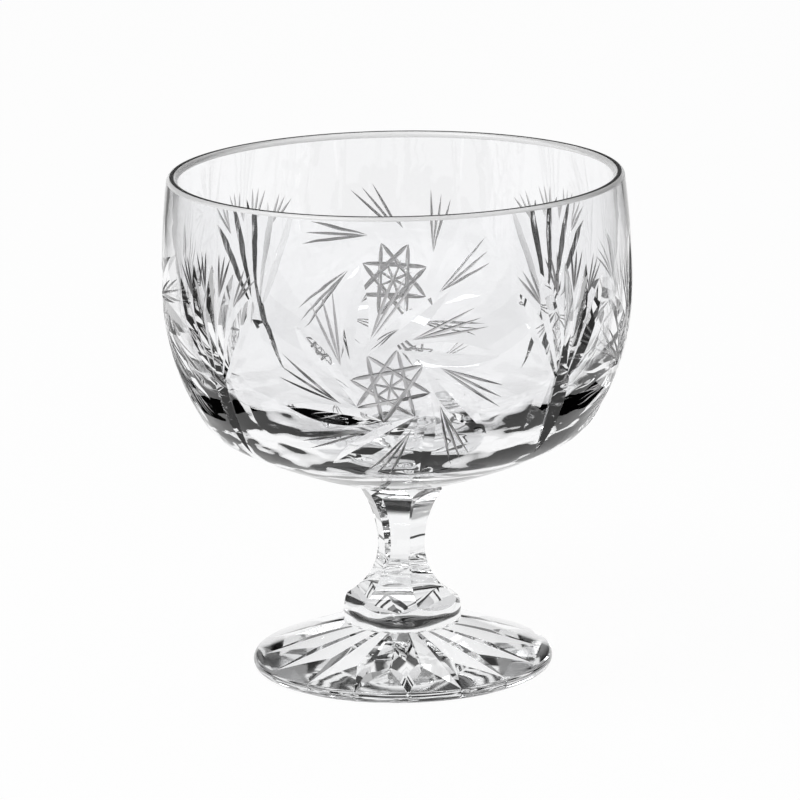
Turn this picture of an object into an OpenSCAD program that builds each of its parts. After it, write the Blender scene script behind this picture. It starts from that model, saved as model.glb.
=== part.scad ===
// Footed cut-glass dessert bowl, in millimetres.
// Three fused pieces stand on one axis: a star-cut foot, a six-sided stem and a bowl cut with pinwheels and fans.
// The foot rests on z = 0, and one pinwheel faces the front, which is -Y.

/* [Foot] */
// Diameter of the foot
foot_d = 66; // [50:0.5:90]
// Height of the foot up to the pad that carries the stem
foot_h = 10; // [7:0.25:14]
// Thickness of the foot's rounded edge
foot_edge = 2.6; // [1.6:0.1:4]
// Number of rays in the star under the foot
ray_count = 16; // [8:1:24]
// Depth of the star at its centre
ray_depth = 5.4; // [2:0.1:7]
// Width of the flat ring round the star that the foot rests on
ring_w = 3.3; // [1.6:0.1:8]
// Half of the angle between the two flanks of a ray
ray_half_angle = 58; // [40:1:70]
// Turn of the first ray away from the front
ray_turn = 4; // [-12:0.5:12]

/* [Stem] */
// Height of the stem between the foot and the bowl
stem_h = 31; // [22:0.5:50]
// Diameter of the round collar at the bottom of the stem
collar_d = 26; // [20:0.5:36]
// Radius that rounds the side of the collar
collar_round = 12; // [6:0.5:20]
// Height of the widest place of the collar above the foot
collar_h = 1.3; // [0:0.1:3]
// Diameter of the round head under the bowl
head_d = 18.6; // [14:0.2:26]
// Thickness of the stem across its flats at the waist
waist_d = 9.1; // [6:0.1:14]
// Height of the waist above the foot
waist_h = 16.7; // [14:0.1:20]
// Radius of the facets above the waist
upper_facet_r = 25.4; // [18:0.2:40]
// Radius of the facets below the waist
lower_facet_r = 13.9; // [10:0.1:18]
// Number of flat sides
side_count = 6; // [5:1:8]
// Turn of the first side away from the front
side_turn = -11.5; // [-30:0.5:30]

/* [Bowl] */
// Height of the bowl above the stem
bowl_h = 69; // [57.5:0.5:90]
// Widest diameter of the bowl, at its belly
bowl_d = 102; // [80:0.5:130]
// Distance that the side leans in from the belly to the rim
rim_lean = 1.6; // [0.8:0.1:2.4]
// Height of the belly above the bottom of the bowl
belly_h = 44.2; // [37:0.2:53]
// Radius of the side below the belly
flank_r = 54; // [45:0.5:66]
// Angle that the side turns through before the corner
flank_turn = 31.3; // [26:0.1:38]
// Radius of the corner between side and underside
corner_r = 14.4; // [8:0.2:24]
// Radius of the rounded underside
under_r = 152; // [100:1:240]
// Thickness of the wall where the inside is widest
wall = 3; // [2.4:0.1:3.8]
// Thickness of the rounded lip
lip = 2.4; // [1.6:0.1:2.8]
// Height of the widest place inside above the belly
inner_rise = 4.5; // [0:0.1:8]
// Thickness of the bowl at its centre
floor_t = 9; // [5:0.25:14]
// Radius of the bowl's floor
floor_r = 110; // [70:1:200]
// Radius of the corner inside the bowl
inner_corner_r = 20; // [10:0.5:30]

/* [Pinwheels] */
// Number of pinwheels round the bowl, with a fan between each two
pinwheel_count = 4; // [3:1:5]
// Height of a pinwheel's centre below the belly, along the wall
pinwheel_drop = 11.2; // [4:0.1:16]
// Number of vanes in a pinwheel
vane_count = 8; // [6:1:10]
// Distance from the pinwheel's centre to the feet of its vanes
vane_start = 8.5; // [5:0.1:12]
// Turn of the first vane's foot from the right
vane_turn = 34; // [0:1:45]
// Distance from the pinwheel's centre to the tips of its vanes
vane_reach = 24; // [16:0.5:28]
// Angle that a vane sweeps through round the pinwheel, clockwise from its foot to its tip
vane_sweep = 66; // [40:1:80]
// Half of the angle between the two flanks of a vane
vane_half_angle = 66; // [50:1:75]

/* [Fans] */
// Height of a fan's root below the belly, along the wall
fan_drop = 8; // [2:0.5:14]
// Number of petals in a fan
petal_count = 5; // [3:1:7]
// Angle between two petals
petal_step = 20; // [12:1:28]
// Length of a petal
petal_l = 20; // [10:0.5:24]
// Length of the trunk below the petals
trunk_l = 25; // [14:0.5:30]
// Depth of a fan at its root
fan_depth = 0.6; // [0.2:0.05:1.2]
// Half of the angle between the two flanks of a petal or a trunk
fan_half_angle = 62; // [45:1:72]

/* [Hidden] */
$fn = 180;

// Overlap that carries a cut past the surface it opens
past = 1;
// Colour of the glass
glass = [0.9, 0.93, 0.95, 0.5];
// Height of a cut's open side over its keel
cut_h = 4;

bowl_r = bowl_d / 2;
rim_r = bowl_r - rim_lean;

// Arcs of the outside of the bowl, from the belly up and down
lip_z = bowl_h - lip / 2;
upper_r = bulge_r(rim_lean, lip_z - belly_h);
upper_c = [bowl_r - upper_r, belly_h];
flank_c = [bowl_r - flank_r, belly_h];
flank_end = flank_c + flank_r * [cos(flank_turn), -sin(flank_turn)];
corner_c = flank_c + (flank_r - corner_r) * [cos(flank_turn), -sin(flank_turn)];
under_start = [head_d / 2, 0];
under_c = meet(corner_c, under_r - corner_r, under_start, under_r);
corner_end = corner_c + corner_r * unit(corner_c - under_c);

// Arcs of the inside of the bowl
inner_r = bowl_r - wall;
inner_belly_h = belly_h + inner_rise;
inner_upper_r = bulge_r(rim_lean - wall + lip, lip_z - inner_belly_h);
inner_upper_c = [inner_r - inner_upper_r, inner_belly_h];
inner_flank_r = flank_r - wall;
inner_c = [inner_r - inner_flank_r, inner_belly_h];
floor_c = [0, floor_t + floor_r];
inner_corner_c = meet(inner_c, inner_flank_r - inner_corner_r, floor_c, floor_r - inner_corner_r);
inner_flank_end = inner_c + inner_flank_r * unit(inner_corner_c - inner_c);
floor_end = floor_c + floor_r * unit(inner_corner_c - floor_c);

// Length along the outside of the bowl from the belly down to the corner
flank_l = arc_length(flank_r, flank_turn);

function unit(v) = v / norm(v);
function turn_left(v) = [-v[1], v[0]];

// Radius of an arc that starts straight and moves aside by a width over a length
function bulge_r(width, length) = (width * width + length * length) / (2 * width);
function arc_length(r, angle) = r * angle * PI / 180;
function arc_angle(r, length) = length / r * 180 / PI;

// The point on the right of the way from c0 to c1 that is r0 from c0 and r1 from c1
function meet_along(c0, r0, c1, r1) = (pow(norm(c1 - c0), 2) + r0 * r0 - r1 * r1) / (2 * norm(c1 - c0));
function meet_side(c0, r0, c1, r1) = sqrt(r0 * r0 - pow(meet_along(c0, r0, c1, r1), 2));
function meet(c0, r0, c1, r1) =
    c0 + unit(c1 - c0) * meet_along(c0, r0, c1, r1) - turn_left(unit(c1 - c0)) * meet_side(c0, r0, c1, r1);

// Slope of the wall's normal above the horizontal, at a length up the outside of the bowl from the belly
function wall_slope(up) =
    up >= 0 ? arc_angle(upper_r, up)
    : up >= -flank_l ? arc_angle(flank_r, up)
    : -flank_turn + arc_angle(corner_r, up + flank_l);

// Radius and height of the wall's outside at that length
function wall_point(up) =
    up >= 0 ? upper_c + upper_r * [cos(wall_slope(up)), sin(wall_slope(up))]
    : up >= -flank_l ? flank_c + flank_r * [cos(wall_slope(up)), sin(wall_slope(up))]
    : corner_c + corner_r * [cos(wall_slope(up)), sin(wall_slope(up))];

// A point of the wall: p is its length to the right and up from a middle at angle az and length up
function on_wall(az, up, p) =
    let (q = wall_point(up + p[1]), a = az + arc_angle(q[0], p[0])) [q[0] * sin(a), -q[0] * cos(a), q[1]];
function out_of_wall(az, up, p) =
    let (s = wall_slope(up + p[1]), a = az + arc_angle(wall_point(up + p[1])[0], p[0]))
    [cos(s) * sin(a), -cos(s) * cos(a), sin(s)];
function polar(r, angle) = r * [cos(angle), sin(angle)];

// A straight groove with a sharp keel from point a to point b, open in the direction out
module v_cut(a, b, out, half_angle, h = cut_h, lead = past) {
    along = unit(b - a);
    open = unit(out - along * (out * along));
    side = cross(open, along);
    translate(a - along * lead)
        rotate([atan2(open[2], along[2]), -asin(side[2]), atan2(side[1], side[0])])
            linear_extrude(height = norm(b - a) + lead + past)
                polygon([[0, 0], [h * tan(half_angle), h], [-h * tan(half_angle), h]]);
}

// A groove in the bowl's wall between two points, sunk below the surface at its start
module wall_cut(az, up, from, to, half_angle, sunk = 0) {
    out = out_of_wall(az, up, (from + to) / 2);
    v_cut(on_wall(az, up, from) - out * sunk, on_wall(az, up, to), out, half_angle);
}

module foot() {
    pad_r = collar_d / 2;
    edge_r = foot_edge / 2;
    edge_c = [foot_d / 2 - edge_r, edge_r];
    to_edge = edge_c - [pad_r, foot_h];
    slope = atan2(to_edge[1], to_edge[0]) + asin(edge_r / norm(to_edge));
    brow = edge_c + edge_r * [-sin(slope), cos(slope)];
    tip_r = foot_d / 2 - ring_w;
    color(glass)
        difference() {
            rotate_extrude() {
                polygon([[0, 0], [edge_c[0], 0], edge_c, brow, [pad_r, foot_h], [0, foot_h]]);
                translate(edge_c) circle(r = edge_r);
            }
            for (i = [0 : ray_count - 1])
                let (a = ray_turn + i * 360 / ray_count)
                    v_cut([0, 0, ray_depth], [tip_r * sin(a), -tip_r * cos(a), 0], [0, 0, -1], ray_half_angle,
                        ray_depth + cut_h, 0);
        }
}

module stem() {
    color(glass)
        translate([0, 0, foot_h])
            difference() {
                rotate_extrude() stem_outline();
                for (i = [0 : side_count - 1])
                    rotate([90, 0, side_turn - 90 + i * 360 / side_count])
                        linear_extrude(height = 2 * collar_d, center = true) facet_outline();
            }
}

// The round body that the sides are cut from
module stem_outline() {
    square([head_d / 2, stem_h]);
    intersection() {
        translate([collar_d / 2 - collar_round, collar_h]) circle(r = collar_round);
        square([collar_d, waist_h]);
    }
}

// The hollow that one side of the stem is ground with
module facet_outline() {
    translate([waist_d / 2, waist_h]) {
        half_disc(upper_facet_r);
        mirror([0, 1]) half_disc(lower_facet_r);
    }
}

// The upper half of a disc that starts at the origin and lies to the right of it
module half_disc(r) {
    intersection() {
        translate([r, 0]) circle(r = r);
        square(2 * r);
    }
}

// A level slice of an outline, from height low to height high
module slice(low, high) {
    intersection() {
        translate([0, low]) square([bowl_d, high - low]);
        children();
    }
}

// A rounded corner and all that lies between it and the axis, up to the belly
module rounded_bottom(c, r) {
    slice(0, belly_h) translate(c) circle(r = r);
    translate([0, c[1] - r]) square([c[0], belly_h - c[1] + r]);
}

module outer_outline() {
    slice(belly_h, lip_z) translate(upper_c) circle(r = upper_r);
    slice(flank_end[1], belly_h) translate(flank_c) circle(r = flank_r);
    rounded_bottom(corner_c, corner_r);
    slice(0, corner_end[1]) translate(under_c) circle(r = under_r);
}

module inner_outline() {
    slice(inner_belly_h, bowl_h) translate(inner_upper_c) circle(r = inner_upper_r);
    slice(inner_flank_end[1], inner_belly_h) translate(inner_c) circle(r = inner_flank_r);
    rounded_bottom(inner_corner_c, inner_corner_r);
    slice(floor_t, floor_end[1]) translate(floor_c) circle(r = floor_r);
}

module bowl_outline() {
    difference() {
        outer_outline();
        inner_outline();
    }
    slice(lip_z, bowl_h) translate([rim_r - lip / 2, lip_z]) circle(r = lip / 2);
}

// Straight vanes round the plain middle of a pinwheel, which all sweep clockwise
module pinwheel(az) {
    for (i = [0 : vane_count - 1])
        let (a = vane_turn + i * 360 / vane_count)
            wall_cut(az, -pinwheel_drop, polar(vane_start, a), polar(vane_reach, a - vane_sweep), vane_half_angle);
}

// Trunk with petals fanned out over it
module fan(az) {
    wall_cut(az, -fan_drop, [0, 0], [0, -trunk_l], fan_half_angle, fan_depth);
    for (i = [0 : petal_count - 1])
        let (a = 90 + (i - (petal_count - 1) / 2) * petal_step)
            wall_cut(az, -fan_drop, [0, 0], polar(petal_l, a), fan_half_angle, fan_depth);
}

module bowl() {
    step = 360 / pinwheel_count;
    color(glass)
        translate([0, 0, foot_h + stem_h])
            difference() {
                rotate_extrude() bowl_outline();
                for (i = [0 : pinwheel_count - 1]) {
                    pinwheel(i * step);
                    fan((i + 0.5) * step);
                }
            }
}

foot();
stem();
bowl();
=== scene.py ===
"""Footed cut-glass dessert bowl: the finished glass, its stage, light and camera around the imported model.

Lengths are in millimetres and angles in degrees, up to where a mesh, lamp or camera is made in metres.
Azimuth 0 is the front, which is -Y, and azimuths grow towards +X.
"""
from collections import namedtuple
from math import asin, atan2, cos, degrees, hypot, pi, radians, sin, sqrt, tan

import bmesh
import bpy
import numpy as np
from mathutils import Matrix, Vector


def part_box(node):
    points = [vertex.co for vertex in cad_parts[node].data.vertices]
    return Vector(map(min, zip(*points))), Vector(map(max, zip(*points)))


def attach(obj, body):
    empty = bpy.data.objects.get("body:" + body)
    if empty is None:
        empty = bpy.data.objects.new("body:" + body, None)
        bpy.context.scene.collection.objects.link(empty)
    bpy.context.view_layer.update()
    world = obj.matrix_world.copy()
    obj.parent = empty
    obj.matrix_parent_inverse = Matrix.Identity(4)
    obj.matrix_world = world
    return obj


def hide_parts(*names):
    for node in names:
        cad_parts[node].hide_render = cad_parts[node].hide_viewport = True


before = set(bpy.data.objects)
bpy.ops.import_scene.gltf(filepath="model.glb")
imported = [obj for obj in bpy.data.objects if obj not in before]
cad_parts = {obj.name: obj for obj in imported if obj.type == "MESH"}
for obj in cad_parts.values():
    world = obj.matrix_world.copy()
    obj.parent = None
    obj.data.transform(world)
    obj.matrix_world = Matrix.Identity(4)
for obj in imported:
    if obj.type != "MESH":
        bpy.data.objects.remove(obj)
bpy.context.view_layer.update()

MM = 0.001

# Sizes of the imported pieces
foot_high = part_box("foot")[1] / MM
stem_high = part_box("stem")[1] / MM
bowl_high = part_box("bowl")[1] / MM
FOOT_R = foot_high.x
FOOT_Z = foot_high.z
STEM_Z = stem_high.z
BOWL_R = round(bowl_high.x, 1)
RIM_Z = bowl_high.z

# Foot, with the star of rays in its underside
FOOT_EDGE = 2.6
RAY_COUNT = 16
RAY_DEPTH = 5.4
RAY_RING = 3.3
RAY_HALF_ANGLE = 58
RAY_TURN = 4

# Stem
COLLAR_R = 13
COLLAR_ROUND = 12
COLLAR_H = 1.3
HEAD_R = 9.3
WAIST_R = 4.55
WAIST_Z = FOOT_Z + 16.7
UPPER_FACET_R = 25.4
LOWER_FACET_R = 13.9
SIDE_COUNT = 6
SIDE_TURN = -11.5

# Fused joins, each a disc that both pieces share
HEAD_JOIN_R = 8.85
HEAD_JOIN_DROP = 0.3
COLLAR_JOIN_R = 12.4
COLLAR_JOIN_RISE = 0.5

# Bowl
BELLY_Z = STEM_Z + 44.2
RIM_LEAN = 1.6
FLANK_R = 54
FLANK_TURN = 31.3
CORNER_R = 14.4
UNDER_R = 152
WALL = 3.0
LIP = 2.4
CREST_ANGLE = 22
INNER_RISE = 1.5
INNER_CORNER_R = 31
FLOOR_T = 9
FLOOR_R = 110

# Pinwheels
PINWHEEL_AZIMUTHS = [0, 90, 183, 270]
PINWHEEL_TURNS = [0, 0, -8, 0]
PINWHEEL_DROP = 11.2
STAR_POINTS = 8
STAR_SKIP = 3
STAR_R = 8.5
STAR_TURN = 34
HUB_R = 4.6
VANE_REACH = 24
VANE_SWEEP = 66
SPRAY_START = 11.3
SPRAY_REACH = 24.4
SPRAY_TURN = -13
SPRAY_SWEEP = 30
SPRAY_STEP = 6.3

# Fans
FAN_AZIMUTHS = [46, 135, 225, 312]
FAN_DROP = 8
PETALS = 5
PETAL_STEP = 20
PETAL_L = 20
PETAL_SHIFT = 0.6
PETAL_FOOT = 6
TRUNK_L = 25
TRUNK_RISE = 6
TUFT_START = 13.4
TUFT_REACH = 22.6
TUFT_STEP = 4.6

LINES_IN_GROUP = 3

# Kinds of cut: depth in the middle, half of the angle between the flanks, and how square the ends are
Cut = namedtuple("Cut", "depth half_angle squareness")
VANE = Cut(0.8, 73, 2)
PETAL = Cut(0.68, 73.5, 3)
TRUNK = Cut(1.4, 60, 2)
STAR_LINE = Cut(0.48, 45, 8)
FINE_LINE = Cut(0.32, 45, 2)
HUB_LINE = Cut(0.3, 45, 4)

# Scatter of the cutter's hand, in the places of the cuts and in their depths
SEED = 16
HAND = 0.12
DEPTH_SCATTER = 0.1

# Meshes
AROUND = 288
STEP = 1.2
LINE_STEP = 3 * STEP
ARC_STEP = 9
GROOVE_STEPS = 20
TINY = 1e-6

# Radii between which that of the lip is looked for
LIP_R_LEAST = 0.2
LIP_R_MOST = 3.0

# How far the cutters reach beyond what they cut
CUT_HEAD = 0.8
GROOVE_LEAD = 0.03
RAY_LEAD = 0.02
SIDE_REACH = 3 * COLLAR_R
SIDE_HALF = 2 * COLLAR_R

# When a face counts as lying on a skin, as ground, and as meeting its neighbour in an edge
SPAN_SLACK = 0.02
SKIN_TOLERANCE = 0.03
SKIN_TILT = 8
GROUND_TILT = 40
SHARP = 12

# Finishes of a piece's faces, as their places in its list of materials
GLASS, GROUND, JOIN, LIP_FACE, CREST = range(5)
GLASS_IOR = 1.54
BOWL_TINT = (0.968, 0.97, 0.978, 1)
STEM_TINT = (0.94, 0.945, 0.95, 1)
FOOT_TINT = (0.975, 0.98, 0.985, 1)
GROUND_TINT = (0.5, 0.49, 0.495, 1)
# painted shade: the foot's flat underside is tinted grey to stand for the shade under the foot
BASE_PAINTED_SHADE = (0.6, 0.6, 0.61, 1)
LIP_TINT = (0.97, 0.97, 0.97, 1)
# painted shade: the lip's crest is tinted almost black to draw the dark line round the rim
CREST_PAINTED_SHADE = (0.01, 0.01, 0.01, 1)
LIP_ROUGH = 0.25
LIP_CLEAR = 0.3

# Waves that working left in the polished glass, with each piece's strengths at the two heights
WAVE_SCALE = 90
WAVE_DETAIL = 1
WAVE_SQUASH = (1, 1, 2.2)
WAVE_DEPTH = 0.8
WAVES_FROM = 62
WAVES_TO = 80
BOWL_WAVES = (0.6, 0.025)
STEM_WAVES = (0.15, 0.15)
FOOT_WAVES = (0.08, 0.08)

# Grain that the wheel left in the ground glass, with the least and the most roughness that it gives
GRAIN_SCALE = 2500
GRAIN_DETAIL = 3
GRAIN_FROM = 0.3
GRAIN_TO = 0.7
GROUND_ROUGH = (0.3, 0.5)
BASE_ROUGH = (0.03, 0.08)

# Stage: how far its floor glows by itself, and where the studio is dark and lit above the horizon
WHITE = (1, 1, 1, 1)
STAGE_Z = -0.1
STAGE_HALF = 4000
STAGE_TINT = (0.9, 0.9, 0.9, 1)
STAGE_ROUGH = 0.9
STAGE_GLOW = 0.97
DARK_FROM = 0.1
DARK_TO = 0.2
DARK = 0.01
CEILING_FROM = 0.5
CEILING_TO = 0.7
CEILING = 0.3

# Cards that only the glass shows: a black strip on the floor and a grey wall on either side,
# and a dark wall in front
CARD_TINT = (0.01, 0.01, 0.01, 1)
CARD_FRONT = -100
CARD_BACK = 200
STRIP_IN = 105
STRIP_OUT = 130
STRIP_Z = 1
STRIP_LEVEL = 0.0
GREY_AWAY = 130
GREY_LOW = 62
GREY_HIGH = 110
GREY_LEVEL = 0.5
FRONT_AWAY = 150
FRONT_HALF = 300
FRONT_HIGH = 60
FRONT_LEVEL = 0.03

# Soft light, with its power in watts
LAMP_SIZE = 500
LAMP_POWER = 6
LAMP_PLACE = (-350, -250, 900)
LAMP_AIM_Z = 50

# Camera
CAMERA_TURN = 2
CAMERA_RISE = 14
CAMERA_AWAY = 1051.35
CAMERA_AIM_Z = 53.79
CAMERA_ROLL = -0.9
CAMERA_ZOOM = 6.012
CAMERA_SHIFT = (0.00075, 0.0304)
SENSOR = 36

# Bounces of light: few glossy ones, so that light caught in the wall ends as black
MOST_BOUNCES = 32
GLOSSY_BOUNCES = 5
CLEAR_BOUNCES = 16


def unit(v):
    """v at length 1."""
    return v / np.linalg.norm(v)


def polar(r, angle):
    """A point at a distance and an angle from the origin of a plane."""
    return np.array([r * cos(radians(angle)), r * sin(radians(angle))])


def around(r, azimuth, z):
    """A point at a distance from the axis, at an azimuth and a height."""
    return np.array([r * sin(radians(azimuth)), -r * cos(radians(azimuth)), z])


def half_turn(angle):
    """An angle in radians, brought between minus and plus half a turn."""
    return (angle + pi) % (2 * pi) - pi


def spread(count):
    """The places of some things in a row, counted from the middle of the row."""
    return [i - (count - 1) / 2 for i in range(count)]


def rectangle(low_x, high_x, low_y, high_y):
    """The corners of a rectangle in a plane, in turn."""
    return [(low_x, low_y), (high_x, low_y), (high_x, high_y), (low_x, high_y)]


def bulge_r(width, length):
    """Radius of an arc that starts straight and moves aside by a width over a length."""
    return (width * width + length * length) / (2 * width)


def meet(c0, r0, c1, r1):
    """The point on the right of the way from c0 to c1 that is r0 from c0 and r1 from c1."""
    way = c1 - c0
    along = (way @ way + r0 * r0 - r1 * r1) / (2 * np.linalg.norm(way))
    aside = sqrt(r0 * r0 - along * along)
    ahead = unit(way)
    return c0 + ahead * along + np.array([ahead[1], -ahead[0]]) * aside


# Outline stretches and the surfaces that they make

def on_stretch(share):
    """Which shares of the way along an outline stretch lie on it."""
    return (share > -SPAN_SLACK) & (share < 1 + SPAN_SLACK)


class Arc:
    """A round stretch of an outline in (radius, height).

    The glass lies inside its circle if side is 1, and outside if side is -1.
    """

    def __init__(self, centre, r, start, end, side=1):
        self.centre = np.array(centre, float)
        self.r = r
        self.side = side
        self.first = self.angle(start)
        self.turn = half_turn(self.angle(end) - self.first)

    def angle(self, p):
        return atan2(p[1] - self.centre[1], p[0] - self.centre[0])

    def points(self):
        turn = abs(self.turn)
        steps = max(2, round(turn * self.r / STEP), round(degrees(turn) / ARC_STEP))
        angles = self.first + self.turn * np.linspace(0, 1, steps + 1)
        return self.centre + self.r * np.stack([np.cos(angles), np.sin(angles)], 1)

    def normals(self, p):
        away = p - self.centre
        return self.side * away / np.linalg.norm(away, axis=-1, keepdims=True)

    def distance(self, p):
        away = p - self.centre
        share = half_turn(np.arctan2(away[:, 1], away[:, 0]) - self.first) / self.turn
        off = np.abs(np.linalg.norm(away, axis=1) - self.r)
        return np.where(on_stretch(share), off, np.inf)


class Line:
    """A straight stretch of an outline in (radius, height), with the glass on its left."""

    def __init__(self, start, end):
        self.start = np.array(start, float)
        self.way = np.array(end, float) - self.start
        self.length = np.linalg.norm(self.way)
        ahead = self.way / self.length
        self.normal = np.array([ahead[1], -ahead[0]])

    def points(self):
        steps = max(1, round(self.length / LINE_STEP))
        return self.start + self.way * np.linspace(0, 1, steps + 1)[:, None]

    def normals(self, p):
        return np.broadcast_to(self.normal, p.shape)

    def distance(self, p):
        share = (p - self.start) @ self.way / self.length ** 2
        off = np.abs((p - self.start) @ self.normal)
        return np.where(on_stretch(share), off, np.inf)


class Skin:
    """A surface: an outline stretch carried round the axis, or straight along one side of the stem."""

    def __init__(self, span, finish=GLASS, side=None):
        self.span = span
        self.finish = finish
        self.side = side

    def flatten(self, points):
        """Distance from the axis and height of points, and the level direction of that distance."""
        level = points[:, :2]
        if self.side is None:
            r = np.linalg.norm(level, axis=1)
            way = level / np.maximum(r, TINY)[:, None]
        else:
            way = np.broadcast_to(around(1, self.side, 0)[:2], level.shape)
            r = (level * way).sum(1)
        return np.stack([r, points[:, 2]], 1), way

    def distance(self, points):
        return self.span.distance(self.flatten(points)[0])

    def normals(self, points):
        flat, way = self.flatten(points)
        normals = self.span.normals(flat)
        return np.concatenate([normals[:, :1] * way, normals[:, 1:]], 1)


# Meshes

def solid(name, points, faces):
    """A mesh object with its faces turned outwards."""
    mesh = bpy.data.meshes.new(name)
    mesh.from_pydata((np.asarray(points) * MM).tolist(), [], faces)
    shape = bmesh.new()
    shape.from_mesh(mesh)
    bmesh.ops.recalc_face_normals(shape, faces=shape.faces)
    shape.to_mesh(mesh)
    shape.free()
    piece = bpy.data.objects.new(name, mesh)
    bpy.context.scene.collection.objects.link(piece)
    return piece


def turned(name, skins):
    """The closed solid that an outline from axis to axis sweeps round the axis."""
    outline = np.concatenate([skins[0].span.points()] + [skin.span.points()[1:] for skin in skins[1:]])
    azimuths = np.arange(AROUND) * 360 / AROUND
    points = []
    rows = []
    for r, z in outline:
        if r < TINY:
            rows.append([len(points)] * AROUND)
            points.append((0, 0, z))
        else:
            rows.append(range(len(points), len(points) + AROUND))
            points.extend(around(r, azimuth, z) for azimuth in azimuths)
    faces = []
    for low, high in zip(rows, rows[1:]):
        for i in range(AROUND):
            k = (i + 1) % AROUND
            faces.append(list(dict.fromkeys([low[i], low[k], high[k], high[i]])))
    return solid(name, points, faces)


def prism(name, outline, side, half_width):
    """A solid with an outline in (distance from the axis, height), straight along one side of the stem."""
    along = around(1, side + 90, 0)
    ends = [[around(r, side, z) + along * shift for r, z in outline] for shift in (-half_width, half_width)]
    count = len(outline)
    faces = [tuple(range(count)), tuple(range(count, 2 * count))]
    faces += [(i, (i + 1) % count, (i + 1) % count + count, i + count) for i in range(count)]
    return solid(name, ends[0] + ends[1], faces)


def v_groove(name, keels, outs, heads, half_angle):
    """A cutter with a V section, whose keel runs along the points and which opens towards outs.

    Its mouth lies at a height of heads above the keel.
    """
    ahead = np.gradient(keels, axis=0)
    ahead /= np.linalg.norm(ahead, axis=1, keepdims=True)
    outs = outs - ahead * (outs * ahead).sum(1, keepdims=True)
    outs /= np.linalg.norm(outs, axis=1, keepdims=True)
    aside = np.cross(outs, ahead) * tan(radians(half_angle))
    heads = heads[:, None]
    left = keels + (outs + aside) * heads
    right = keels + (outs - aside) * heads
    points = np.stack([keels, left, right], 1).reshape(-1, 3)
    faces = [(0, 1, 2)]
    for i in range(0, len(points) - 3, 3):
        faces += [(i + k, i + (k + 1) % 3, i + (k + 1) % 3 + 3, i + k + 3) for k in range(3)]
    faces.append((len(points) - 3, len(points) - 2, len(points) - 1))
    return solid(name, points, faces)


def carve(piece, cutters):
    """Takes the cutters out of a piece and removes them."""
    group = bpy.data.collections.new("cutters")
    for cutter in cutters:
        group.objects.link(cutter)
    modifier = piece.modifiers.new("cut", "BOOLEAN")
    modifier.operation = "DIFFERENCE"
    modifier.solver = "MANIFOLD"
    modifier.operand_type = "COLLECTION"
    modifier.collection = group
    bpy.context.view_layer.update()
    mesh = bpy.data.meshes.new_from_object(piece.evaluated_get(bpy.context.evaluated_depsgraph_get()))
    piece.modifiers.clear()
    piece.data = mesh
    for cutter in cutters:
        bpy.data.objects.remove(cutter)
    bpy.data.collections.remove(group)


def read(things, name, width, kind=float):
    """A property of all faces, corners or vertices of a mesh, one row for each."""
    values = np.empty(len(things) * width, kind)
    things.foreach_get(name, values)
    return values.reshape(-1, width)


def finish(piece, skins, finishes, wall=()):
    """Gives a piece its materials and the true normals of the skins its faces lie on.

    A face on no skin belongs to a cut. Cuts that stand steeply in the wall are left ground,
    and the rest are polished.
    """
    mesh = piece.data
    mesh.materials.clear()
    for made in finishes:
        mesh.materials.append(made)
    mesh.shade_smooth()
    mesh.set_sharp_from_angle(angle=radians(SHARP))

    count = len(mesh.polygons)
    centres = read(mesh.polygons, "center", 3) / MM
    facings = read(mesh.polygons, "normal", 3)
    totals = read(mesh.polygons, "loop_total", 1, int)[:, 0]
    corners = read(mesh.loops, "vertex_index", 1, int)[:, 0]
    places = read(mesh.vertices, "co", 3)[corners] / MM
    face_of_corner = np.repeat(np.arange(count), totals)

    picked = np.full(count, GLASS)
    open_faces = np.ones(count, bool)
    normals = np.zeros_like(places)
    for skin in skins:
        lined_up = (skin.normals(centres) * facings).sum(1) > cos(radians(SKIN_TILT))
        on_skin = open_faces & lined_up & (skin.distance(centres) < SKIN_TOLERANCE)
        open_faces &= ~on_skin
        picked[on_skin] = skin.finish
        at_corner = on_skin[face_of_corner]
        normals[at_corner] = skin.normals(places[at_corner])

    nearest = np.full(count, np.inf)
    for skin in wall:
        distance = skin.distance(centres)
        upright = (skin.normals(centres) * facings).sum(1)
        steep = open_faces & (distance < nearest) & (upright < cos(radians(GROUND_TILT)))
        gentle = open_faces & (distance < nearest) & ~steep
        picked[steep] = GROUND
        picked[gentle] = GLASS
        nearest = np.minimum(nearest, distance)

    mesh.polygons.foreach_set("material_index", picked)
    mesh.normals_split_custom_set(normals.tolist())


# The three outlines, each from axis to axis with the glass on the left of its way

def foot_skins():
    """The round foot: a flat underside, a rounded edge and a straight slope up to the join with the stem."""
    edge_r = FOOT_EDGE / 2
    edge_c = np.array([FOOT_R - edge_r, edge_r])
    pad = np.array([COLLAR_R, FOOT_Z])
    to_edge = edge_c - pad
    slope = atan2(to_edge[1], to_edge[0]) + asin(edge_r / hypot(*to_edge))
    brow = edge_c + edge_r * np.array([-sin(slope), cos(slope)])
    rest = np.array([edge_c[0], 0])
    side = edge_c + [edge_r, 0]
    join = np.array([COLLAR_JOIN_R, FOOT_Z])
    return [
        # the flat underside gets the foot's lightly rough, grey-tinted finish; its grey is painted shade
        Skin(Line((0, 0), rest), GROUND),
        Skin(Arc(edge_c, edge_r, rest, side)),
        Skin(Arc(edge_c, edge_r, side, brow)),
        Skin(Line(brow, pad)),
        Skin(Line(pad, join)),
        Skin(Line(join, (0, FOOT_Z)), JOIN),
    ]


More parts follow.
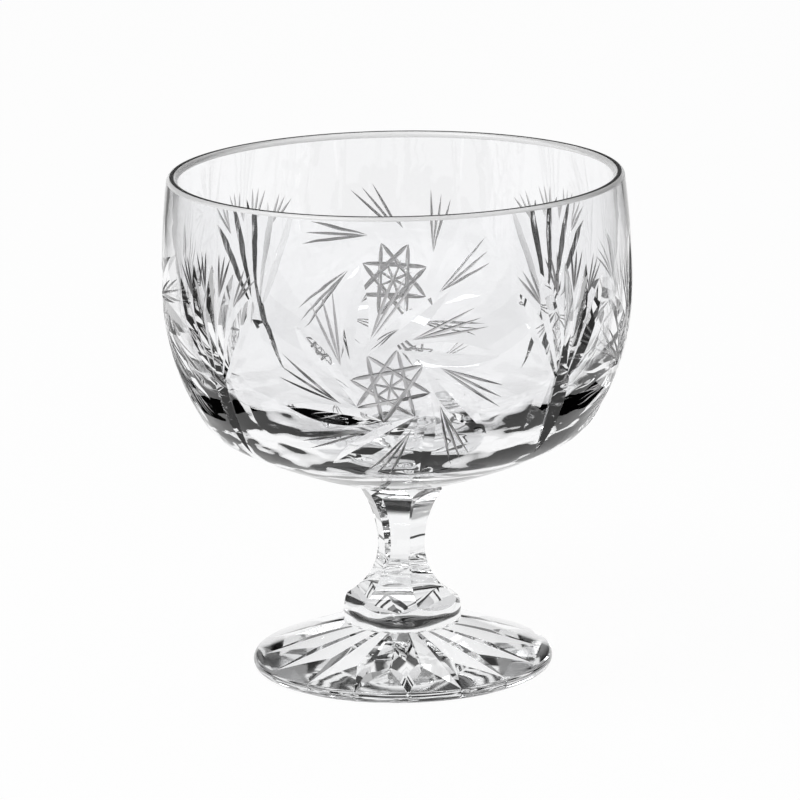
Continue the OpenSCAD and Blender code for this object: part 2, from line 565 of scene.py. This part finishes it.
def stem_skins():
    """The round body of the stem: a bulging collar and a straight head, each bevelled at its join."""
    collar_c = np.array([COLLAR_R - COLLAR_ROUND, FOOT_Z + COLLAR_H])
    bevel_z = FOOT_Z + COLLAR_JOIN_RISE
    bevel = np.array([collar_c[0] + sqrt(COLLAR_ROUND ** 2 - (bevel_z - collar_c[1]) ** 2), bevel_z])
    shoulder = np.array([HEAD_R, collar_c[1] + sqrt(COLLAR_ROUND ** 2 - (HEAD_R - collar_c[0]) ** 2)])
    head = np.array([HEAD_R, STEM_Z - HEAD_JOIN_DROP])
    low_join = np.array([COLLAR_JOIN_R, FOOT_Z])
    high_join = np.array([HEAD_JOIN_R, STEM_Z])
    return [
        Skin(Line((0, FOOT_Z), low_join), JOIN),
        Skin(Line(low_join, bevel)),
        Skin(Arc(collar_c, COLLAR_ROUND, bevel, shoulder)),
        Skin(Line(shoulder, head)),
        Skin(Line(head, high_join)),
        Skin(Line(high_join, (0, STEM_Z)), JOIN),
    ]


def side_arcs():
    """The lower and the upper arc of the hollow that every side of the stem is ground with."""
    low_c = np.array([WAIST_R + LOWER_FACET_R, WAIST_Z])
    high_c = np.array([WAIST_R + UPPER_FACET_R, WAIST_Z])
    waist = np.array([WAIST_R, WAIST_Z])
    return [
        Arc(low_c, LOWER_FACET_R, low_c - [0, LOWER_FACET_R], waist, -1),
        Arc(high_c, UPPER_FACET_R, waist, high_c + [0, UPPER_FACET_R], -1),
    ]


def lip_circle(upper_c, upper_r, inner_c, inner_r):
    """Centre and radius of the round lip that touches the outside, the inside and the height of the rim.

    The radius is found by halving the stretch in which it is looked for.
    """
    thin = LIP_R_LEAST
    thick = LIP_R_MOST
    while thick - thin > TINY:
        r = (thin + thick) / 2
        z = RIM_Z - r
        outer = upper_c[0] + sqrt((upper_r - r) ** 2 - (z - upper_c[1]) ** 2)
        inner = inner_c[0] + sqrt((inner_r + r) ** 2 - (z - inner_c[1]) ** 2)
        if inner < outer:
            thin = r
        else:
            thick = r
    return np.array([outer, z]), r


def bowl_skins():
    """The bowl's base, its outside up to the lip, and its inside from the lip down to the floor."""
    flank_c = np.array([BOWL_R - FLANK_R, BELLY_Z])
    down = np.array([cos(radians(FLANK_TURN)), -sin(radians(FLANK_TURN))])
    flank_end = flank_c + FLANK_R * down
    corner_c = flank_c + (FLANK_R - CORNER_R) * down
    pad = np.array([HEAD_R, STEM_Z])
    under_c = meet(corner_c, UNDER_R - CORNER_R, pad, UNDER_R)
    corner_end = corner_c + CORNER_R * unit(corner_c - under_c)
    belly = np.array([BOWL_R, BELLY_Z])
    upper_r = bulge_r(RIM_LEAN, RIM_Z - BELLY_Z)
    upper_c = belly - [upper_r, 0]

    inner_belly = np.array([BOWL_R - WALL, BELLY_Z + INNER_RISE])
    inner_upper_r = bulge_r(RIM_LEAN - WALL + LIP, RIM_Z - inner_belly[1])
    inner_upper_c = inner_belly - [inner_upper_r, 0]
    inner_flank_r = FLANK_R - WALL
    inner_c = inner_belly - [inner_flank_r, 0]
    floor = np.array([0, STEM_Z + FLOOR_T])
    floor_c = floor + [0, FLOOR_R]
    inner_corner_c = meet(inner_c, inner_flank_r - INNER_CORNER_R, floor_c, FLOOR_R - INNER_CORNER_R)
    inner_flank_end = inner_c + inner_flank_r * unit(inner_corner_c - inner_c)
    floor_end = floor_c + FLOOR_R * unit(inner_corner_c - floor_c)

    lip_c, lip_r = lip_circle(upper_c, upper_r, inner_upper_c, inner_upper_r)
    lip_out = lip_c + lip_r * unit(lip_c - upper_c)
    crest_out, crest_in = (lip_c + polar(lip_r, 90 + a) for a in (-CREST_ANGLE, CREST_ANGLE))
    lip_in = lip_c - lip_r * unit(lip_c - inner_upper_c)
    join = np.array([HEAD_JOIN_R, STEM_Z])
    base = [
        Skin(Line((0, STEM_Z), join), JOIN),
        Skin(Line(join, pad)),
    ]
    outside = [
        Skin(Arc(under_c, UNDER_R, pad, corner_end)),
        Skin(Arc(corner_c, CORNER_R, corner_end, flank_end)),
        Skin(Arc(flank_c, FLANK_R, flank_end, belly)),
        Skin(Arc(upper_c, upper_r, belly, lip_out)),
    ]
    inside = [
        Skin(Arc(lip_c, lip_r, lip_out, crest_out), LIP_FACE),
        # the crest faces take the almost black finish, which is painted shade
        Skin(Arc(lip_c, lip_r, crest_out, crest_in), CREST),
        Skin(Arc(lip_c, lip_r, crest_in, lip_in), LIP_FACE),
        Skin(Arc(inner_upper_c, inner_upper_r, lip_in, inner_belly, -1)),
        Skin(Arc(inner_c, inner_flank_r, inner_belly, inner_flank_end, -1)),
        Skin(Arc(inner_corner_c, INNER_CORNER_R, inner_flank_end, floor_end, -1)),
        Skin(Arc(floor_c, FLOOR_R, floor_end, floor, -1)),
    ]
    return base, outside, inside


# Cuts in the bowl's wall

rng = np.random.default_rng(SEED)


def wobble(p):
    """A place on the wall as near as a hand at the wheel comes to it."""
    return p + rng.normal(0, HAND, 2)


class Wall:
    """The bowl's outside as a sheet, measured in lengths to the right and up from a place on the belly."""

    def __init__(self, outside):
        self.corner, self.flank, self.upper = (skin.span for skin in outside[1:])

    def place(self, azimuth, aside, up):
        """A point of the wall and the direction out of it."""
        flank_l = FLANK_R * radians(FLANK_TURN)
        if up >= 0:
            arc, slope = self.upper, up / self.upper.r
        elif up >= -flank_l:
            arc, slope = self.flank, up / FLANK_R
        else:
            arc, slope = self.corner, (up + flank_l) / CORNER_R - radians(FLANK_TURN)
        r, z = arc.centre + arc.r * np.array([cos(slope), sin(slope)])
        turned_to = azimuth + degrees(aside / r)
        return around(r, turned_to, z), around(cos(slope), turned_to, sin(slope))

    def groove(self, azimuth, middle, start, end, cut):
        """A groove between two places, each given by its lengths to the right and up from the middle."""
        shares = np.linspace(-GROOVE_LEAD, 1 + GROOVE_LEAD, GROOVE_STEPS)
        depth = cut.depth * rng.uniform(1 - DEPTH_SCATTER, 1 + DEPTH_SCATTER)
        depths = depth * (1 - np.abs(2 * shares - 1) ** cut.squareness)
        keels = []
        outs = []
        for share, sunk in zip(shares, depths):
            aside, up = start + (end - start) * share
            point, out = self.place(azimuth, aside, middle + up)
            keels.append(point - out * sunk)
            outs.append(out)
        return v_groove("groove", np.array(keels), np.array(outs), depths + CUT_HEAD, cut.half_angle)

    def pinwheel(self, azimuth, turn):
        """A star with vanes that sweep clockwise from its points, and sprays of lines between the vanes."""
        grooves = []

        def add(start, end, cut):
            grooves.append(self.groove(azimuth, -PINWHEEL_DROP, wobble(start), wobble(end), cut))

        points = [STAR_TURN + turn + i * 360 / STAR_POINTS for i in range(STAR_POINTS)]
        for a in points:
            add(polar(STAR_R, a), polar(STAR_R, a + STAR_SKIP * 360 / STAR_POINTS), STAR_LINE)
            add(polar(STAR_R, a), polar(VANE_REACH, a - VANE_SWEEP), VANE)
            root = polar(SPRAY_START, a + SPRAY_TURN)
            for place in spread(LINES_IN_GROUP):
                tip = a + SPRAY_TURN - SPRAY_SWEEP + place * SPRAY_STEP
                add(root, polar(SPRAY_REACH, tip), FINE_LINE)
        for a in points[:STAR_POINTS // 2]:
            add(polar(HUB_R, a), polar(HUB_R, a + 180), HUB_LINE)
        return grooves

    def fan(self, azimuth):
        """A trunk with petals that spread from its top, and a tuft of lines between each two petals."""
        grooves = []

        def add(start, end, cut):
            grooves.append(self.groove(azimuth, -FAN_DROP, start, end, cut))

        add(np.array([0, TRUNK_RISE]), np.array([0, -TRUNK_L]), TRUNK)
        for place in spread(PETALS):
            root = np.array([place * PETAL_SHIFT, -PETAL_FOOT])
            add(root, wobble(polar(PETAL_L, 90 - place * PETAL_STEP)), PETAL)
        for gap in spread(PETALS - 1):
            a = 90 - gap * PETAL_STEP
            for place in spread(LINES_IN_GROUP):
                root = wobble(polar(TUFT_START, a))
                add(root, wobble(polar(TUFT_REACH, a + place * TUFT_STEP)), FINE_LINE)
        return grooves


# The three pieces with their cuts

def cut_bowl():
    """The bowl with its pattern, its skins, and those of them that carry the pattern."""
    base, outside, inside = bowl_skins()
    skins = base + outside + inside
    piece = turned("bowl_cut_glass", skins)
    wall = Wall(outside)
    grooves = []
    for azimuth, turn in zip(PINWHEEL_AZIMUTHS, PINWHEEL_TURNS):
        grooves += wall.pinwheel(azimuth, turn)
    for azimuth in FAN_AZIMUTHS:
        grooves += wall.fan(azimuth)
    carve(piece, grooves)
    return piece, skins, outside


def cut_stem():
    """The stem with its hollow-ground sides, and its skins."""
    skins = stem_skins()
    piece = turned("stem_cut_glass", skins)
    arcs = side_arcs()
    hollow = np.concatenate([arcs[0].points(), arcs[1].points()[1:]])
    outline = np.concatenate([hollow, [(SIDE_REACH, hollow[-1][1]), (SIDE_REACH, hollow[0][1])]])
    sides = [SIDE_TURN + i * 360 / SIDE_COUNT for i in range(SIDE_COUNT)]
    carve(piece, [prism("side", outline, side, SIDE_HALF) for side in sides])
    return piece, skins + [Skin(arc, side=side) for side in sides for arc in arcs]


def cut_foot():
    """The foot with the star in its underside, and its skins."""
    skins = foot_skins()
    piece = turned("foot_cut_glass", skins)
    shares = [-RAY_LEAD, 1 + RAY_LEAD]
    outs = np.array([(0, 0, -1)] * len(shares), float)
    rays = []
    for i in range(RAY_COUNT):
        azimuth = RAY_TURN + i * 360 / RAY_COUNT
        keels = np.array([around((FOOT_R - RAY_RING) * s, azimuth, RAY_DEPTH * (1 - s)) for s in shares])
        rays.append(v_groove("ray", keels, outs, keels[:, 2] + CUT_HEAD, RAY_HALF_ANGLE))
    carve(piece, rays)
    return piece, skins


# Materials

class Nodes:
    """Adds shader nodes to a tree and links them, each input given as a value or as another node's output."""

    def __init__(self, tree):
        self.tree = tree
        tree.nodes.clear()

    def add(self, kind, inputs=None, **settings):
        node = self.tree.nodes.new("ShaderNode" + kind)
        for name, value in settings.items():
            setattr(node, name, value)
        for name, value in (inputs or {}).items():
            if isinstance(value, bpy.types.NodeSocket):
                self.tree.links.new(value, node.inputs[name])
            else:
                node.inputs[name].default_value = value
        return node

    def math(self, operation, *values):
        return self.add("Math", dict(enumerate(values)), operation=operation).outputs[0]

    def noise(self, where, scale, detail):
        return self.add("TexNoise", {"Vector": where, "Scale": scale, "Detail": detail}).outputs["Fac"]

    def ramp(self, value, low, high, at_low, at_high):
        """A value eased from one level to another between two places."""
        inputs = {"Value": value, "From Min": low, "From Max": high, "To Min": at_low, "To Max": at_high}
        return self.add("MapRange", inputs, interpolation_type="SMOOTHSTEP").outputs[0]

    def surface(self, inputs):
        """Makes a principled shader the whole surface."""
        body = self.add("BsdfPrincipled", inputs)
        self.add("OutputMaterial", {"Surface": body.outputs[0]})


def material(name):
    made = bpy.data.materials.new(name)
    made.use_nodes = True
    return made, Nodes(made.node_tree)


def glass_inputs(tint, roughness, clear=1.0):
    """What every finish of the glass sets on its shader."""
    return {"Base Color": tint, "Roughness": roughness, "IOR": GLASS_IOR, "Transmission Weight": clear}


def polished_glass(name, tint, waves):
    """Clear glass with the waves that working it left, whose strength changes between two heights."""
    made, nodes = material(name)
    where = nodes.add("TexCoord").outputs["Object"]
    squashed = nodes.add("VectorMath", {0: where, 1: WAVE_SQUASH}, operation="MULTIPLY").outputs[0]
    noise = nodes.noise(squashed, WAVE_SCALE, WAVE_DETAIL)
    height = nodes.add("SeparateXYZ", {0: where}).outputs["Z"]
    strength = nodes.ramp(height, WAVES_FROM * MM, WAVES_TO * MM, *waves)
    bump = nodes.add("Bump", {"Height": noise, "Strength": strength, "Distance": WAVE_DEPTH * MM})
    nodes.surface({**glass_inputs(tint, 0.0), "Normal": bump.outputs["Normal"]})
    return made


def ground_glass(name, tint, roughness):
    """Glass left matt by the wheel, with the grain of the wheel in it. The foot's underside and the lip's
    crest use it too, with dark tints that are painted shade.
    """
    made, nodes = material(name)
    grain = nodes.noise(nodes.add("TexCoord").outputs["Object"], GRAIN_SCALE, GRAIN_DETAIL)
    nodes.surface(glass_inputs(tint, nodes.ramp(grain, GRAIN_FROM, GRAIN_TO, *roughness)))
    return made


def soft_lip(name, tint):
    """The fire-polished lip, which is a little milky."""
    made, nodes = material(name)
    nodes.surface(glass_inputs(tint, LIP_ROUGH, LIP_CLEAR))
    return made


def fused_join(name):
    """The place where two pieces are one glass, so nothing of it shows."""
    made, nodes = material(name)
    nodes.surface({"Alpha": 0.0})
    return made


def plain_card(name, level):
    """A matt card of an even brightness."""
    made, nodes = material(name)
    nodes.surface({
        "Base Color": CARD_TINT,
        "Roughness": 1.0,
        "Specular IOR Level": 0.0,
        "Emission Color": WHITE,
        "Emission Strength": level,
    })
    return made


def backdrop(name):
    """A white floor that keeps its shadows."""
    made, nodes = material(name)
    seen = nodes.add("LightPath").outputs
    clear = nodes.math("MAXIMUM", seen["Is Camera Ray"], seen["Is Glossy Ray"])
    clear = nodes.math("MAXIMUM", clear, seen["Is Transmission Ray"])
    share = nodes.math("MULTIPLY", clear, STAGE_GLOW)
    body = nodes.add("BsdfPrincipled", {"Base Color": STAGE_TINT, "Roughness": STAGE_ROUGH})
    glow = nodes.add("Emission", {"Strength": 1.0})
    mix = nodes.add("MixShader", {0: share, 1: body.outputs[0], 2: glow.outputs[0]})
    nodes.add("OutputMaterial", {"Surface": mix.outputs[0]})
    return made


# Stage, light and camera

def studio(world):
    """A white horizon, a dark band above it, which gives the glass its black edges, and a lit ceiling."""
    world.use_nodes = True
    nodes = Nodes(world.node_tree)
    way = nodes.add("SeparateXYZ", {0: nodes.add("TexCoord").outputs["Generated"]}).outputs
    horizon = nodes.ramp(way["Z"], DARK_FROM, DARK_TO, 1.0, DARK)
    ceiling = nodes.ramp(way["Z"], CEILING_FROM, CEILING_TO, 0.0, CEILING)
    level = nodes.math("MAXIMUM", horizon, ceiling)
    light = nodes.add("Background", {"Color": WHITE, "Strength": level})
    nodes.add("OutputWorld", {"Surface": light.outputs[0]})


def soft_light(name):
    """A round soft light above the front left, which shows in no reflection."""
    light = bpy.data.lights.new(name, "AREA")
    light.shape = "DISK"
    light.size = LAMP_SIZE * MM
    light.energy = LAMP_POWER
    lamp = bpy.data.objects.new(name, light)
    lamp.location = [length * MM for length in LAMP_PLACE]
    aim = Vector((0, 0, LAMP_AIM_Z * MM))
    lamp.rotation_euler = (aim - lamp.location).to_track_quat("-Z", "Y").to_euler()
    lamp.visible_glossy = False
    bpy.context.scene.collection.objects.link(lamp)


def standing_camera(name):
    """The camera, where it stood for the photograph."""
    rise = radians(CAMERA_RISE)
    turn = radians(CAMERA_TURN)
    ahead = Vector((-sin(turn) * cos(rise), cos(turn) * cos(rise), -sin(rise)))
    optics = bpy.data.cameras.new(name)
    optics.sensor_width = SENSOR
    optics.lens = CAMERA_ZOOM * SENSOR
    optics.shift_x, optics.shift_y = CAMERA_SHIFT
    made = bpy.data.objects.new(name, optics)
    made.location = (Vector((0, 0, CAMERA_AIM_Z)) - ahead * CAMERA_AWAY) * MM
    upright = ahead.to_track_quat("-Z", "Y").to_matrix()
    made.rotation_euler = (upright @ Matrix.Rotation(radians(CAMERA_ROLL), 3, "Z")).to_euler()
    bpy.context.scene.collection.objects.link(made)
    return made


def carry_card(carrier, name, corners, level):
    """Hangs a card on a carrier, where nothing but glass shows it."""
    card = solid(name, corners, [(0, 1, 2, 3)])
    card.data.materials.append(plain_card(name, level))
    card.visible_camera = False
    card.visible_shadow = False
    card.visible_diffuse = False
    card.parent = carrier
    card.matrix_parent_inverse = carrier.matrix_world.inverted()


# The object

bowl, all_bowl_skins, bowl_outside = cut_bowl()
stem, all_stem_skins = cut_stem()
foot, all_foot_skins = cut_foot()

bowl_glass = polished_glass("bowl_glass", BOWL_TINT, BOWL_WAVES)
stem_glass = polished_glass("stem_glass", STEM_TINT, STEM_WAVES)
foot_glass = polished_glass("foot_glass", FOOT_TINT, FOOT_WAVES)
ground = ground_glass("ground_glass", GROUND_TINT, GROUND_ROUGH)
# the foot's underside: lightly rough glass whose grey tint is painted shade for the shade under the foot
painted_shade_base = ground_glass("painted_shade_base", BASE_PAINTED_SHADE, BASE_ROUGH)
fused = fused_join("fused_join")
lip = soft_lip("lip_glass", LIP_TINT)
# the lip's crest as almost black glass: painted shade for the dark line round the rim
painted_shade_crest = ground_glass("lip_crest_painted_shade", CREST_PAINTED_SHADE, GROUND_ROUGH)
finish(bowl, all_bowl_skins, [bowl_glass, ground, fused, lip, painted_shade_crest], bowl_outside)
finish(stem, all_stem_skins, [stem_glass, ground, fused])
finish(foot, all_foot_skins, [foot_glass, painted_shade_base, fused])
for piece, node in ((bowl, "bowl"), (stem, "stem"), (foot, "foot")):
    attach(piece, "root")
    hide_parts(node)

# What stands around it

scene = bpy.context.scene
stage_corners = rectangle(-STAGE_HALF, STAGE_HALF, -STAGE_HALF, STAGE_HALF)
floor = solid("floor", [(x, y, STAGE_Z) for x, y in stage_corners], [(0, 1, 2, 3)])
floor.data.materials.append(backdrop("white_floor"))

scene.world = bpy.data.worlds.new("studio")
studio(scene.world)
soft_light("soft_box")

camera = standing_camera("photo_camera")
scene.camera = camera
bpy.context.view_layer.update()

strip_corners = rectangle(STRIP_IN, STRIP_OUT, CARD_FRONT, CARD_BACK)
grey_corners = rectangle(CARD_FRONT, CARD_BACK, GREY_LOW, GREY_HIGH)
front_corners = rectangle(-FRONT_HALF, FRONT_HALF, STRIP_Z, FRONT_HIGH)
for name, side in (("left", -1), ("right", 1)):
    carry_card(camera, name + "_strip", [(side * x, y, STRIP_Z) for x, y in strip_corners], STRIP_LEVEL)
    carry_card(camera, name + "_wall", [(side * GREY_AWAY, y, z) for y, z in grey_corners], GREY_LEVEL)
carry_card(camera, "front_wall", [(x, -FRONT_AWAY, z) for x, z in front_corners], FRONT_LEVEL)

scene.view_settings.view_transform = "Standard"
scene.cycles.max_bounces = MOST_BOUNCES
scene.cycles.transmission_bounces = MOST_BOUNCES
scene.cycles.glossy_bounces = GLOSSY_BOUNCES
scene.cycles.transparent_max_bounces = CLEAR_BOUNCES
scene.cycles.use_denoising = True

bpy.context.view_layer.update()
